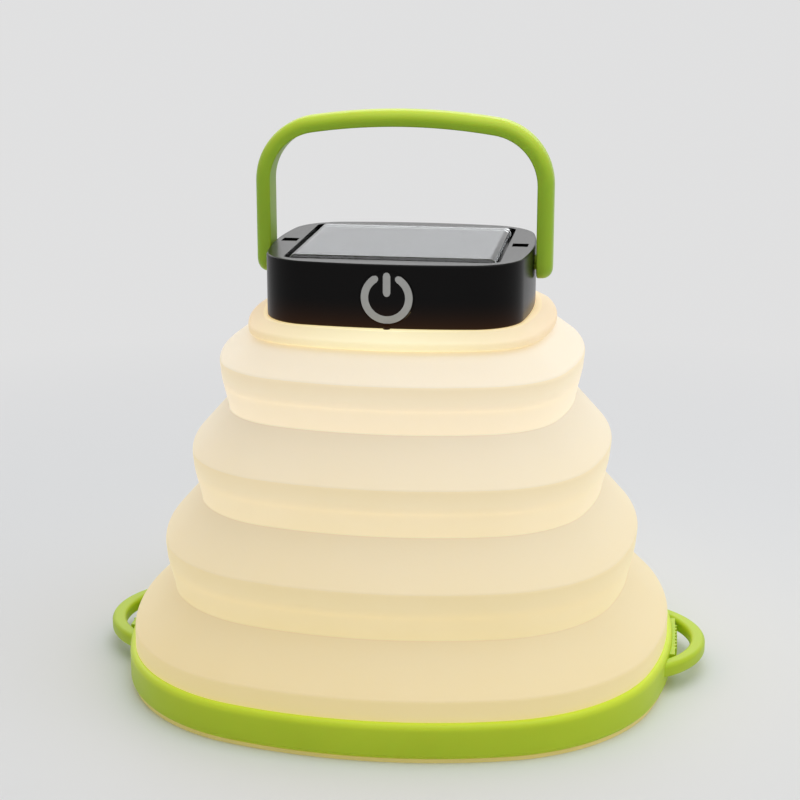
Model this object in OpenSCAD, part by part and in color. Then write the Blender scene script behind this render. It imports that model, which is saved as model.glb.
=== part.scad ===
// Collapsible camping lantern. A lamp head with a solar panel, a push button and a bail handle
// stands on a silicone bellows of four folds, which closes into a base with two strap loops.
// Millimetres, Z up, origin at the centre of the underside, front of the lamp head towards -Y.

/* [Plan] */
// Width of the base band, side to side
body_width = 150; // [144:1:160]
// Spread of the body's corner centres side to side, in steps of seven
body_spread_x = 3; // [2.9:0.1:3.2]
// Spread of the body's corner centres front to back, in steps of seven
body_spread_y = 2.5; // [2.4:0.1:2.8]

/* [Base] */
// Height of the top of the base band above the ground
band_top = 10.4; // [9.4:0.2:11.4]
// Thickness of the base band
band_wall = 3.4; // [3:0.1:4]
// Edge radius of the base band
band_edge = 1.6; // [1:0.1:1.6]
// Thickness of the base plate under the band
plate_rim = 1; // [0.8:0.1:1.4]
// Thickness of the base plate inside the band
plate_wall = 2.4; // [2.2:0.1:2.8]

/* [Strap loops] */
// How far a strap loop stands out from the band
loop_reach = 8.9; // [8.5:0.1:10.5]
// Thickness of the loop's bow
loop_wall = 4; // [3.2:0.1:4.2]
// Radius of the loop's bow
loop_radius = 26; // [22:0.5:28]
// Height of the loop's underside above the ground
loop_bottom = 4.6; // [3.6:0.1:4.8]
// Height of the loop
loop_height = 4; // [3:0.1:4]
// Number of grip teeth in each loop
loop_teeth = 8; // [5:1:9]

/* [Bellows] */
// Height of the lowest ridge
ridge_low = 15.8; // [15:0.2:17]
// Height from one ridge to the next
tier_pitch = 24.3; // [23.5:0.1:25]
// Height of the upright band under a ridge
tier_band = 12.8; // [12:0.2:13.4]
// Draw-in of the upright band at its foot
tier_draft = 2.2; // [1.6:0.1:2.4]
// Thickness of the silicone, measured level
skin = 2; // [1.6:0.1:2.2]
// Radius of the bead along each ridge
bead = 1.7; // [1.4:0.1:1.9]

/* [Lamp head] */
// Width of the lamp head, side to side
head_width = 70; // [68:0.5:74]
// Height of the lamp head
head_height = 16.5; // [16.5:0.1:18]
// Height of the underside of the lamp head above the top ridge
head_rise = 11.7; // [10.9:0.2:12.9]
// Width of the silicone collar that shows around the head
collar_lip = 6; // [5.4:0.1:6.4]
// Spread of the head's corner centres side to side, in steps of thirteen
head_spread_x = 1.5; // [1.4:0.05:1.55]
// Spread of the head's corner centres front to back, in steps of thirteen
head_spread_y = 1.25; // [1.2:0.05:1.3]
// Edge radius of the head's top
head_edge = 1; // [0.8:0.1:1.6]
// Wall thickness of the head
head_wall = 2.2; // [2:0.1:2.4]
// Depth of the recess for the solar panel
panel_recess = 2.6; // [2.4:0.1:2.8]
// Width of the top frame beside the recess
frame_width = 7.1; // [6.8:0.1:7.6]
// Width of the top frame before and behind the recess
frame_front = 5.9; // [5.6:0.1:6.6]
// Width of the dark gap around the panel cover
panel_gap = 1.3; // [1:0.1:1.6]

/* [Power button] */
// Diameter of the button cap
button_d = 13.8; // [12.6:0.2:13.8]
// Stroke of the button
button_travel = 0.6; // [0.4:0.1:0.6]
// Line width of the power symbol
symbol_line = 1.9; // [1.4:0.1:2.1]

/* [Bail handle] */
// Height of the bail above its pivots
bail_height = 39.7; // [38.7:0.2:42.7]
// Thickness of the bail, measured from its flat inner face
bail_thick = 4.2; // [3.8:0.1:4.3]
// Width of the bail
bail_width = 8.6; // [8.2:0.1:8.6]
// Spread of the bail's corner centres, in steps of thirteen
bail_spread = 1.7; // [1.6:0.1:1.9]
// Diameter of the pivot pins
pin_d = 4; // [3.4:0.1:4.2]

/* [Hidden] */
$fn = 96;
eps = 0.01;
// bows of the plans, as right triangles with whole sides
soft_arc = [7, 24, 25];
slight_arc = [13, 84, 85];
// overshoot of cutting shapes
over = 1;
// reach of the wedges that part the swept sectors
far = 4;
tall = 220;
sink = 5;
// clearances
side_gap = 0.5;
run_gap = 0.05;
move_gap = 0.3;
hole_gap = 0.1;
// body plan and levels of the bellows, tiers counted from the top
body = plan(soft_arc, body_spread_x, body_spread_y);
band_in = body_width / 2 - band_wall;
ridge_in = 0.4;
low_tier = 4;
head_a = head_width / 2;
collar_a = head_a + collar_lip;
collar_run = 7.6;
foot_a = band_in + ridge_in;
tier_step = (foot_a - collar_a - collar_run) / (low_tier - 1);
function ridge_a(k) = foot_a - (low_tier - k) * tier_step;
function ridge_z(k) = ridge_low + (low_tier - k) * tier_pitch;
function valley_a(k) = ridge_a(k) - tier_draft;
function valley_z(k) = ridge_z(k) - tier_band;
// base fixings
plate_proud = 1;
flange_top = plate_wall + skin;
lip_a = body_width / 2 - band_edge;
lip_t = 0.6;
clamp_wall = 2;
clamp_ease = 0.2;
base_clamp_out = band_in - skin - clamp_ease;
base_clamp_wide = 6.4;
base_boss_r = 3;
base_boss_h = 3.2;
base_screw_d = 2.6;
base_head_d = 5.2;
base_head_h = 1.4;
base_head_t = 1;
base_screw_tip = 0.6;
tooth_r = 0.55;
tooth_pitch = 2.3;
loop_root = 0.7;
// collar
fold_one = 3;
collar_in = 9;
collar_tuck = 0.6;
collar_edge = 1.8;
collar_drop = 4.5;
clamp_band = 8.5;
clamp_t = 1.6;
// lamp head
flange_in = head_a - collar_in;
head = plan(slight_arc, head_spread_x, head_spread_y);
head_b = half_depth(head, head_a);
head_z = ridge_z(1) + head_rise;
head_top = head_z + head_height;
inner_a = head_a - head_wall;
floor_t = 2;
floor_top = head_z + floor_t;
recess_z = head_top - panel_recess;
deck_t = 1.6;
deck_z = recess_z - deck_t;
recess = [head_a - frame_width, head_b - frame_front];
cover = recess - [panel_gap, panel_gap];
cover_edge = 1.5;
cover_wall = 1.5;
cover_proud = 0.6;
cover_top = head_top + cover_proud;
pocket = cover - [cover_wall, cover_wall];
cell = pocket - [hole_gap, hole_gap];
cell_t = 1.5;
slot_len = 4.2;
slot_wide = 4.6;
slot_deep = 1.5;
slot_in = 1.9;
nub_r = 1.4;
nub_h = 0.8;
// head fixings
screw_d = 2.6;
screw_head_d = 5;
screw_head_h = 1.5;
boss_r = 3;
boss_skin = 2.8;
screw_tip = 0.5;
screw_a = flange_in + clamp_band / 2;
// light and electronics
lens_r = 15;
lens_lip_r = 18;
lens_lip_t = 1.2;
lens_drop = 3;
lens_taper = 2;
board = [44, 36, 1.4];
post_r = 2.5;
post = [18, 14];
post_h = 2.7;
board_z = floor_top + post_h;
board_top = board_z + board[2];
mini_d = 1.8;
mini_head_d = 3.6;
mini_head_h = 1.2;
mini_tip = 0.2;
post_skin = 0.5;
led = [3.5, 2.8, 1.2];
led_ring = 9;
led_count = 6;
battery_size = [30, 24, 4.8];
battery_edge = 1.5;
switch_size = [6, 4, 4];
plunger_d = 2;
plunger_len = 1.5;
contact_d = 1.2;
contact_x = 4;
contact_y = 15;
// button
button_low = 0.25;
button_z = head_z + head_height / 2 - button_low;
button_hole = button_d + 2 * move_gap;
flange_w = 18;
flange_h = 8;
flange_t = 1.2;
flange_y = -head_b + head_wall + 2 * move_gap;
stem_d = 3.6;
press_gap = button_travel + move_gap;
stem_end = -board[1] / 2 - plunger_len - press_gap;
symbol_rim = 0.3;
symbol_d = button_d - 2 * symbol_rim;
symbol_tip = 0.9 * symbol_line;
symbol_gap = 32;
symbol_bar = 6.4;
symbol_deep = 0.4;
// bail
pivot_drop = 4.4;
pivot_z = head_top - pivot_drop;
bail_in = head_a + side_gap;
bail_cx = slight_arc[0] * bail_spread;
bail_drop = slight_arc[1] * bail_spread;
bail_arc = slight_arc[2] * bail_spread;
bail_corner = bail_in - bail_cx;
bail_top = pivot_z + bail_height;
bail_cz = bail_top - bail_thick - bail_corner - bail_arc + bail_drop;
eye_r = 4.8;
eye_t = 3.4;
pin_len = 4;
pivot_block = [3.3, 9, 5.3];

lime = [0.64, 0.78, 0.17];
black = [0.07, 0.07, 0.07];
silicone = [0.95, 0.93, 0.86];
steel = [0.72, 0.72, 0.74];

// A plan with bowed sides: corner centre, drops and lengths to the centres of the front and side bows,
// half width and half depth less corner radius
function plan(arc, sx, sy) = [arc[0] * sx, arc[0] * sy, arc[1] * sx, arc[1] * sy, arc[2] * sx, arc[2] * sy,
    arc[0] * sx + (arc[2] - arc[1]) * sy, arc[0] * sy + (arc[2] - arc[1]) * sx];

// Half depth of the outline whose half width is a
function half_depth(p, a) = a - p[6] + p[7];

// A point on the diagonal of a corner, on the outline of half width a
function corner_at(p, a) = [p[0] + (a - p[6]) * cos(45), p[1] + (a - p[6]) * sin(45)];

// Upright wedge that keeps one sector of a sweep
module wedge(points) {
    translate([0, 0, -sink])
        linear_extrude(tall)
            polygon(points);
}

// Sweeps a section, drawn as half width and height, around a plan: four corners, two fronts, two sides
module sweep(p) {
    c = [p[0], p[1]];
    f = c + far * [p[0], p[2]];
    s = c + far * [p[3], p[1]];
    for (x = [-1, 1], y = [-1, 1])
        intersection() {
            translate([x * p[0], y * p[1], 0])
                rotate(x > 0 ? 180 : 0)
                    rotate_extrude()
                        translate([-p[6], 0])
                            children();
            wedge([[x * c[0], y * c[1]], [x * s[0], y * s[1]],
                [x * (s[0] + f[0]), y * (s[1] + f[1])], [x * f[0], y * f[1]]]);
        }
    for (y = [-1, 1])
        intersection() {
            translate([0, y * (p[1] - p[2]), 0])
                rotate_extrude()
                    translate([p[4] - p[6], 0])
                        children();
            wedge([[-c[0], y * c[1]], [c[0], y * c[1]], [f[0], y * f[1]], [-f[0], y * f[1]]]);
        }
    for (x = [-1, 1])
        intersection() {
            translate([x * (p[0] - p[3]), 0, 0])
                rotate(x > 0 ? 180 : 0)
                    rotate_extrude()
                        translate([p[5] - p[6], 0])
                            children();
            wedge([[x * c[0], -c[1]], [x * c[0], c[1]], [x * s[0], s[1]], [x * s[0], -s[1]]]);
        }
}

// A flat plate that fills a plan out to half width a
module slab(p, a, z0, z1) {
    rim = 0.5;
    core = 2;
    c = [p[0] + 0.7 * core, p[1] + 0.7 * core];
    front = p[7] + core;
    side = p[6] + core;
    sweep(p)
        translate([p[6] + rim, z0])
            square([a - p[6] - rim, z1 - z0]);
    translate([0, 0, z0])
        linear_extrude(z1 - z0)
            polygon([[side, 0], c, [0, front], [-c[0], c[1]], [-side, 0], -c, [0, -front], [c[0], -c[1]]]);
}

// Places a child at the four corner fixings of a plan
module at_corners(p, a) {
    c = corner_at(p, a);
    for (x = [-1, 1], y = [-1, 1])
        translate([x * c[0], y * c[1], 0])
            children();
}

// Section of a strip with round outer edges, from half width a0 to a1 and z0 to z1
module round_strip(a0, a1, z0, z1, r) {
    translate([a0, z0])
        square([a1 - a0 - r, z1 - z0]);
    translate([a0, z0 + r])
        square([a1 - a0, z1 - z0 - 2 * r]);
    translate([a1 - r, z0 + r])
        circle(r);
    translate([a1 - r, z1 - r])
        circle(r);
}

// Round bead along a ridge
module bead_section(k) {
    translate([ridge_a(k) - bead, ridge_z(k)])
        circle(bead);
}

// Sloping fold from an upper edge down to a ridge
module fold_section(k, a, z, wide) {
    difference() {
        polygon([[a, z], [ridge_a(k), ridge_z(k)], [ridge_a(k) - wide, ridge_z(k)], [a - wide, z]]);
        bead_section(k);
    }
}

// Upright band of a tier, from its ridge to its foot
module band_section(k) {
    polygon([
        [ridge_a(k), ridge_z(k)],
        [valley_a(k), valley_z(k)],
        [valley_a(k) - skin, valley_z(k)],
        [ridge_a(k) - skin, ridge_z(k)]
    ]);
    bead_section(k);
}

// Base plate: the clear floor of the lantern, with four sunk screw holes
module base_plate() {
    color(silicone)
        difference() {
            union() {
                slab(body, body_width / 2 - plate_proud, 0, plate_rim);
                slab(body, band_in, 0, plate_wall);
            }
            at_corners(body, base_clamp_out - base_clamp_wide / 2) {
                translate([0, 0, -eps])
                    cylinder(d = base_head_d + 2 * hole_gap, h = base_head_h + eps);
                cylinder(d = base_screw_d + 2 * hole_gap, h = plate_wall + eps);
            }
        }
}

// Lime band around the foot of the bellows
module base_band() {
    color(lime)
        sweep(body)
            round_strip(band_in, body_width / 2, plate_rim, band_top, band_edge);
}

// Strap loop: a flat bow with grip teeth along its root
module strap_loop() {
    edge = body_width / 2;
    centre = edge + loop_reach - loop_radius;
    root = edge + loop_root;
    color(lime)
        difference() {
            translate([0, 0, loop_bottom])
                linear_extrude(loop_height) {
                    difference() {
                        translate([centre, 0])
                            circle(loop_radius);
                        intersection() {
                            translate([centre, 0])
                                circle(loop_radius - loop_wall);
                            translate([root, -loop_radius])
                                square([loop_radius, 2 * loop_radius]);
                        }
                    }
                    for (i = [0:loop_teeth - 1])
                        translate([root, (i - (loop_teeth - 1) / 2) * tooth_pitch])
                            circle(tooth_r);
                }
            slab(body, edge, loop_bottom - over, loop_bottom + loop_height + over);
        }
}

module strap_loop_right() {
    strap_loop();
}

module strap_loop_left() {
    rotate(180)
        strap_loop();
}

// Ring that holds the foot of the bellows down on the base plate
module base_clamp() {
    color(silicone)
        difference() {
            union() {
                sweep(body)
                    translate([base_clamp_out - base_clamp_wide, flange_top])
                        square([base_clamp_wide, clamp_wall]);
                at_corners(body, base_clamp_out - base_clamp_wide / 2)
                    translate([0, 0, flange_top])
                        cylinder(r = base_boss_r, h = base_boss_h);
            }
            at_corners(body, base_clamp_out - base_clamp_wide / 2)
                translate([0, 0, flange_top - eps])
                    cylinder(d = base_screw_d, h = base_boss_h - base_screw_tip + eps);
        }
}

// Four pan head screws, put in from below
module base_screws() {
    color(steel)
        at_corners(body, base_clamp_out - base_clamp_wide / 2) {
            translate([0, 0, base_head_h - base_head_t])
                cylinder(d = base_head_d, h = base_head_t);
            translate([0, 0, base_head_h - eps])
                cylinder(d = base_screw_d, h = flange_top + base_boss_h - base_screw_tip - base_head_h + eps);
        }
}

// Foot of the bellows: lowest ridge, lip over the band, wall behind it, and the clamped flange
module bellows_skirt() {
    color(silicone)
        difference() {
            sweep(body) {
                polygon([
                    [foot_a, ridge_low],
                    [lip_a, band_top + lip_t],
                    [lip_a, band_top],
                    [band_in, band_top],
                    [band_in, plate_wall],
                    [base_clamp_out - base_clamp_wide, plate_wall],
                    [base_clamp_out - base_clamp_wide, flange_top],
                    [band_in - skin, flange_top],
                    [band_in - skin, band_top],
                    [foot_a - skin, ridge_low]
                ]);
                bead_section(low_tier);
            }
            at_corners(body, base_clamp_out - base_clamp_wide / 2)
                translate([0, 0, plate_wall - eps])
                    cylinder(d = base_screw_d + 2 * hole_gap, h = skin + 2 * eps);
        }
}

module bellows_fold_4() {
    color(silicone)
        sweep(body)
            fold_section(low_tier, valley_a(3), valley_z(3), skin);
}

module bellows_band_3() {
    color(silicone)
        sweep(body)
            band_section(3);
}

module bellows_fold_3() {
    color(silicone)
        sweep(body)
            fold_section(3, valley_a(2), valley_z(2), skin);
}

module bellows_band_2() {
    color(silicone)
        sweep(body)
            band_section(2);
}

module bellows_fold_2() {
    color(silicone)
        sweep(body)
            fold_section(2, valley_a(1), valley_z(1), skin);
}

module bellows_band_1() {
    color(silicone)
        sweep(body)
            band_section(1);
}

module bellows_fold_1() {
    color(silicone)
        sweep(body)
            fold_section(1, collar_a - collar_edge, head_z - collar_drop, fold_one);
}

// Top of the bellows: a round lip under the head, with a flange that is clamped to it
module bellows_collar() {
    color(silicone)
        difference() {
            sweep(body) {
                round_strip(head_a + collar_tuck, collar_a, head_z - collar_drop, head_z, collar_edge);
                translate([flange_in, head_z - skin])
                    square([head_a + 2 * collar_tuck - flange_in, skin]);
            }
            at_corners(body, screw_a)
                translate([0, 0, head_z - skin - eps])
                    cylinder(d = screw_d + 2 * hole_gap, h = skin + 2 * eps);
        }
}

// Ring that clamps the collar to the underside of the head
module collar_clamp() {
    color(black)
        difference() {
            sweep(body)
                translate([flange_in, head_z - skin - clamp_t])
                    square([clamp_band, clamp_t]);
            at_corners(body, screw_a)
                translate([0, 0, head_z - skin - clamp_t - eps])
                    cylinder(d = screw_d + 2 * hole_gap, h = clamp_t + 2 * eps);
        }
}

// Four screws through clamp, collar and floor into the head housing
module clamp_screws() {
    z = head_z - skin - clamp_t;
    color(steel)
        at_corners(body, screw_a) {
            translate([0, 0, z - screw_head_h])
                cylinder(d = screw_head_d, h = screw_head_h);
            translate([0, 0, z - eps])
                cylinder(d = screw_d, h = deck_z - boss_skin - screw_tip - z + eps);
        }
}

// Floor of the head: light window, four screw holes and four posts for the circuit board
module head_floor() {
    color(black)
        difference() {
            union() {
                slab(head, inner_a, head_z, floor_top);
                at_posts()
                    translate([0, 0, floor_top - eps])
                        cylinder(r = post_r, h = post_h + eps);
            }
            translate([0, 0, head_z - eps])
                cylinder(r = lens_r + hole_gap, h = floor_t + 2 * eps);
            at_corners(body, screw_a)
                translate([0, 0, head_z - eps])
                    cylinder(d = screw_d + 2 * hole_gap, h = floor_t + 2 * eps);
            at_posts()
                translate([0, 0, floor_top + post_skin])
                    cylinder(d = mini_d, h = post_h);
            button_cut();
        }
}

// Room for the button cap and its stroke, through the front wall
module button_cut() {
    translate([0, -head_b - over, button_z])
        rotate([-90, 0, 0])
            cylinder(d = button_hole, h = over + head_wall + press_gap + 2 * move_gap);
}

// Places a child at the four posts of the circuit board
module at_posts() {
    for (x = [-1, 1], y = [-1, 1])
        translate([x * post[0], y * post[1], 0])
            children();
}

// Frosted light window, dropped into the floor from above
module led_lens() {
    color([0.93, 0.92, 0.86]) {
        translate([0, 0, floor_top])
            cylinder(r = lens_lip_r, h = lens_lip_t);
        translate([0, 0, head_z - lens_drop])
            cylinder(r1 = lens_r - lens_taper, r2 = lens_r, h = lens_drop);
        translate([0, 0, head_z])
            cylinder(r = lens_r, h = floor_t + eps);
    }
}

// Circuit board on the four posts
module circuit_board() {
    color([0.1, 0.32, 0.18])
        difference() {
            translate([-board[0] / 2, -board[1] / 2, board_z])
                cube(board);
            at_posts()
                translate([0, 0, board_z - over])
                    cylinder(d = mini_d + 2 * hole_gap, h = board[2] + 2 * over);
        }
}

// Four small screws that hold the circuit board
module board_screws() {
    color(steel)
        at_posts() {
            translate([0, 0, board_top])
                cylinder(d = mini_head_d, h = mini_head_h);
            translate([0, 0, floor_top + post_skin + mini_tip])
                cylinder(d = mini_d, h = board_top - floor_top - post_skin - mini_tip + eps);
        }
}

// Light emitting diodes in a ring under the board
module leds() {
    color([0.98, 0.93, 0.6])
        for (i = [0:led_count - 1])
            rotate(i * 360 / led_count)
                translate([led_ring - led[0] / 2, -led[1] / 2, board_z - led[2]])
                    cube(led);
}

// Push switch at the front edge of the board
module tact_switch() {
    color([0.2, 0.2, 0.22]) {
        translate([-switch_size[0] / 2, -board[1] / 2, board_top])
            cube(switch_size);
        translate([0, -board[1] / 2 + eps, button_z])
            rotate([90, 0, 0])
                cylinder(d = plunger_d, h = plunger_len + eps);
    }
}

// Flat cell on top of the board, with round long edges
module battery() {
    color([0.55, 0.6, 0.66])
        translate([-battery_size[0] / 2, -battery_size[1] / 2, board_top])
            rotate([90, 0, 90])
                linear_extrude(battery_size[0]) {
                    translate([battery_edge, 0])
                        square([battery_size[1] - 2 * battery_edge, battery_size[2]]);
                    translate([0, battery_edge])
                        square([battery_size[1], battery_size[2] - 2 * battery_edge]);
                    for (y = [battery_edge, battery_size[1] - battery_edge])
                        for (z = [battery_edge, battery_size[2] - battery_edge])
                            translate([y, z])
                                circle(battery_edge);
                }
}

// Two contact pins from the board up to the back of the solar cell
module panel_contacts() {
    color([0.85, 0.7, 0.35])
        for (x = [-contact_x, contact_x])
            translate([x, contact_y, board_top])
                cylinder(d = contact_d, h = recess_z - board_top);
}

// Head housing: walls, top frame with the panel recess, pivot bores, button hole and screw bosses
module head_housing() {
    color(black)
        difference() {
            union() {
                sweep(head) {
                    translate([inner_a, head_z])
                        square([head_wall, head_height - head_edge]);
                    translate([recess[0] - over, deck_z])
                        square([head_a - head_edge - recess[0] + over, head_top - deck_z]);
                    translate([head_a - head_edge, head_top - head_edge])
                        circle(head_edge);
                }
                slab(head, recess[0], deck_z, recess_z);
                at_corners(body, screw_a)
                    translate([0, 0, floor_top])
                        cylinder(r = boss_r, h = deck_z - floor_top + eps);
                for (turn = [0, 180])
                    rotate(turn)
                        translate([inner_a - pivot_block[0], -pivot_block[1] / 2, deck_z - pivot_block[2]])
                            cube([pivot_block[0] + head_wall / 2, pivot_block[1], pivot_block[2] + eps]);
                translate([0, -head_b, head_z])
                    cylinder(r = nub_r, h = nub_h);
            }
            panel_block(recess, cover_edge + panel_gap, recess_z, head_top + over);
            for (turn = [0, 180])
                rotate(turn) {
                    translate([head_a - slot_in - slot_len, -slot_wide / 2, head_top - slot_deep])
                        cube([slot_len, slot_wide, slot_deep + over]);
                    translate([head_a - pin_len, 0, pivot_z])
                        rotate([0, 90, 0])
                            cylinder(d = pin_d + 2 * run_gap, h = pin_len + over);
                }
            button_cut();
            at_corners(body, screw_a)
                translate([0, 0, floor_top - eps])
                    cylinder(d = screw_d, h = deck_z - boss_skin - floor_top + eps);
            for (x = [-contact_x, contact_x])
                translate([x, contact_y, deck_z - over])
                    cylinder(d = contact_d + 2 * move_gap, h = deck_t + 2 * over);
        }
}

// Upright block of half width and half depth at, with round corners
module panel_block(at, r, z0, z1) {
    translate([0, 0, z0])
        linear_extrude(z1 - z0) {
            square([2 * at[0], 2 * (at[1] - r)], center = true);
            square([2 * (at[0] - r), 2 * at[1]], center = true);
            for (x = [-1, 1], y = [-1, 1])
                translate([x * (at[0] - r), y * (at[1] - r)])
                    circle(r);
        }
}

// Solar cell on the floor of the recess
module solar_cell() {
    color([0.08, 0.1, 0.2])
        translate([-cell[0], -cell[1], recess_z])
            cube([2 * cell[0], 2 * cell[1], cell_t]);
}

// Clear cover over the cell, with its edges rolled down to the recess
module solar_cover() {
    in = cover - [cover_edge, cover_edge];
    shoulder = cover_top - cover_edge;
    color([0.8, 0.85, 0.88, 0.5])
        difference() {
            union() {
                panel_block(cover, cover_edge, recess_z, shoulder);
                translate([-in[0], -in[1], shoulder - eps])
                    cube([2 * in[0], 2 * in[1], cover_edge + eps]);
                for (x = [-1, 1])
                    translate([x * in[0], in[1], shoulder])
                        rotate([90, 0, 0])
                            cylinder(r = cover_edge, h = 2 * in[1]);
                for (y = [-1, 1])
                    translate([-in[0], y * in[1], shoulder])
                        rotate([0, 90, 0])
                            cylinder(r = cover_edge, h = 2 * in[0]);
                for (x = [-1, 1], y = [-1, 1])
                    translate([x * in[0], y * in[1], shoulder])
                        sphere(cover_edge);
            }
            translate([-pocket[0], -pocket[1], recess_z - eps])
                cube([2 * pocket[0], 2 * pocket[1], cell_t + eps]);
        }
}

// Power symbol: an open ring with a bar in its gap
module symbol_shape() {
    mid = (symbol_d - symbol_line) / 2;
    difference() {
        circle(d = symbol_d);
        circle(d = symbol_d - 2 * symbol_line);
        polygon([[0, 0], [symbol_d * sin(symbol_gap), symbol_d * cos(symbol_gap)],
            [-symbol_d * sin(symbol_gap), symbol_d * cos(symbol_gap)]]);
    }
    for (turn = [-symbol_gap, symbol_gap])
        rotate(turn)
            translate([0, mid])
                circle(d = symbol_tip);
    translate([-symbol_line / 2, mid - symbol_bar + symbol_line])
        square([symbol_line, symbol_bar - symbol_line]);
    for (y = [mid - symbol_bar + symbol_line, mid])
        translate([0, y])
            circle(d = symbol_tip);
}

// Button cap with its keeper plate and the stem that reaches the switch
module power_button() {
    color(black)
        difference() {
            union() {
                translate([0, -head_b, button_z])
                    rotate([-90, 0, 0])
                        cylinder(d = button_d, h = flange_y + head_b + eps);
                translate([-flange_w / 2, flange_y, button_z - flange_h / 2])
                    cube([flange_w, flange_t, flange_h]);
                translate([0, flange_y, button_z])
                    rotate([-90, 0, 0])
                        cylinder(d = stem_d, h = stem_end - flange_y);
            }
            translate([0, -head_b + symbol_deep, button_z])
                rotate([90, 0, 0])
                    linear_extrude(symbol_deep + over)
                        symbol_shape();
        }
}

module power_symbol() {
    color([0.66, 0.66, 0.64])
        translate([0, -head_b + symbol_deep, button_z])
            rotate([90, 0, 0])
                linear_extrude(symbol_deep)
                    symbol_shape();
}

// Section of the bail: flat inside, round outside
module bail_section() {
    intersection() {
        translate([bail_thick - bail_width / 2, 0])
            circle(d = bail_width);
        translate([0, -bail_width / 2])
            square([bail_thick, bail_width]);
    }
}

// Bail handle: two legs with eyes and pivot pins, round corners and a crowned grip
module bail_handle() {
    color(lime) {
        for (turn = [0, 180])
            rotate(turn) {
                translate([bail_in, 0, pivot_z])
                    linear_extrude(bail_cz - pivot_z)
                        bail_section();
                translate([bail_in, 0, pivot_z])
                    rotate([0, 90, 0])
                        cylinder(r = eye_r, h = eye_t);
                translate([bail_in - side_gap - pin_len + move_gap, 0, pivot_z])
                    rotate([0, 90, 0])
                        cylinder(d = pin_d, h = pin_len + side_gap - move_gap + over);
            }
        rotate([90, 0, 0]) {
            for (x = [-1, 1])
                intersection() {
                    translate([x * bail_cx, bail_cz, 0])
                        rotate(-90)
                            rotate_extrude()
                                translate([bail_corner, 0])
                                    bail_section();
                    bail_slice([
                        [x * bail_cx, bail_cz],
                        [x * 2 * far * bail_cx, bail_cz],
                        [x * 2 * far * bail_cx, bail_cz + bail_drop],
                        [x * 2 * bail_cx, bail_cz + bail_drop]
                    ]);
                }
            intersection() {
                translate([0, bail_cz - bail_drop, 0])
                    rotate(-90)
                        rotate_extrude()
                            translate([bail_corner + bail_arc, 0])
                                bail_section();
                bail_slice([[-bail_cx, bail_cz], [bail_cx, bail_cz],
                    [2 * bail_cx, bail_cz + bail_drop], [-2 * bail_cx, bail_cz + bail_drop]]);
            }
        }
    }
}

// Flat wedge that keeps one stretch of the bail
module bail_slice(points) {
    translate([0, 0, -bail_width])
        linear_extrude(2 * bail_width)
            polygon(points);
}

base_plate();
base_band();
strap_loop_left();
strap_loop_right();
base_clamp();
base_screws();
bellows_skirt();
bellows_fold_4();
bellows_band_3();
bellows_fold_3();
bellows_band_2();
bellows_fold_2();
bellows_band_1();
bellows_fold_1();
bellows_collar();
collar_clamp();
clamp_screws();
head_floor();
led_lens();
circuit_board();
board_screws();
leds();
tact_switch();
battery();
panel_contacts();
head_housing();
solar_cell();
solar_cover();
power_button();
power_symbol();
bail_handle();
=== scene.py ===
import math

import bmesh
import bpy
from mathutils import Matrix, Vector


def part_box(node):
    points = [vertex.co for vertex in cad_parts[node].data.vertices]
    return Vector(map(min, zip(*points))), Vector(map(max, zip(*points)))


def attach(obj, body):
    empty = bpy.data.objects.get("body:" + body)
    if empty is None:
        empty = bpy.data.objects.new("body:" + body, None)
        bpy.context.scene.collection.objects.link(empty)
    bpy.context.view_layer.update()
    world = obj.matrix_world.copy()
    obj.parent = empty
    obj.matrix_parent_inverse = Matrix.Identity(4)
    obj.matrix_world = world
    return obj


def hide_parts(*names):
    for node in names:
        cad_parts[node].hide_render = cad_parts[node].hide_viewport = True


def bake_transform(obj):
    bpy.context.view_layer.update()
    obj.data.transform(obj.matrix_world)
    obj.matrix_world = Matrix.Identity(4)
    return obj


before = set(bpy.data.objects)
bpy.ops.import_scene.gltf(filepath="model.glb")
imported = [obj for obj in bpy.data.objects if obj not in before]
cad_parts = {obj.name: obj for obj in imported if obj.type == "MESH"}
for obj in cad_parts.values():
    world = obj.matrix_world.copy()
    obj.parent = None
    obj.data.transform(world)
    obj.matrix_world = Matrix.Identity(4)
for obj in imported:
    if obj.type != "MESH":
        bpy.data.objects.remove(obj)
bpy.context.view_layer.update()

bpy.context.scene.view_settings.view_transform = "Standard"

# Camera. It stands close in front of the lantern, a little to its right, and looks down on it.
# Its lens and distance give the strong taper that the sides of the bellows show.
MM = 0.001
LENS = 83.25
SENSOR = 36.0
CAMERA_AZIMUTH = math.radians(8.2)
CAMERA_ELEVATION = math.radians(15.15)
CAMERA_DISTANCE = 505.5
CAMERA_TARGET = Vector((-1.2, 0.0, 73.2))

camera_data = bpy.data.cameras.new("camera")
camera_data.lens = LENS
camera_data.sensor_width = SENSOR
camera = bpy.data.objects.new("camera", camera_data)
camera_back = Vector((
    math.sin(CAMERA_AZIMUTH) * math.cos(CAMERA_ELEVATION),
    -math.cos(CAMERA_AZIMUTH) * math.cos(CAMERA_ELEVATION),
    math.sin(CAMERA_ELEVATION),
))
camera.location = (CAMERA_TARGET + camera_back * CAMERA_DISTANCE) * MM
camera.rotation_mode = "QUATERNION"
camera.rotation_quaternion = (-camera_back).to_track_quat("-Z", "Y")
bpy.context.scene.collection.objects.link(camera)
bpy.context.scene.camera = camera


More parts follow.
